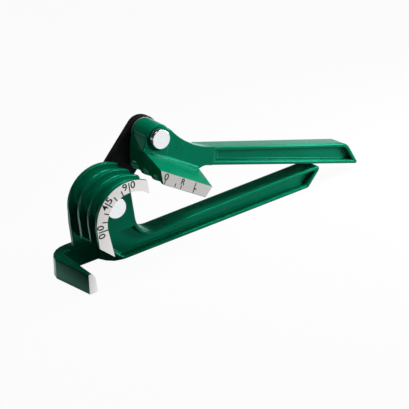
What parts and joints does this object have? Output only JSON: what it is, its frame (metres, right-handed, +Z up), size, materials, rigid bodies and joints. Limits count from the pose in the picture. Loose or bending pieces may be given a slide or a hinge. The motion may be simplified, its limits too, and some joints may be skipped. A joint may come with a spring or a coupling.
{
  "type": "tube bender",
  "caption": "Folding hand tube bender: a lever with a grooved round former and a hook, a lever with a sliding shoe, and a steel link behind that pivots on both.",
  "frame": {"origin": "on the flat underside of the lower handle, straight below the former's axis, in the middle of the handle's width", "axes": "+X along the lower handle towards its end, +Y from the scale faces to the link behind, +Z up from the flat base"},
  "size_m": [0.2078, 0.045, 0.0719],
  "materials": {
    "green_paint": "gloss green enamel on a die casting, with bare machined scale faces",
    "black_steel": "satin black",
    "bright_steel": "polished",
    "plain_steel": "zinc plated"
  },
  "bodies": {
    "lower": {"former_handle": "green_paint"},
    "link": {"link": "black_steel", "former_pin": "bright_steel", "shoe_pin": "bright_steel", "former_washer": "plain_steel", "shoe_washer": "plain_steel", "former_ring": "plain_steel", "shoe_ring": "plain_steel"},
    "upper": {"shoe_handle": "green_paint"}
  },
  "joints": [
    {"name": "link_pivot", "type": "hinge", "parent": "lower", "child": "link", "pos_m": [0, 0, 0.032], "axis": [0, -1, 0], "range_deg": [0, 122]},
    {"name": "shoe_pivot", "type": "hinge", "parent": "link", "child": "upper", "pos_m": [0.03176, 0, 0.06288], "axis": [0, -1, 0], "range_deg": [0, 90]}
  ]
}
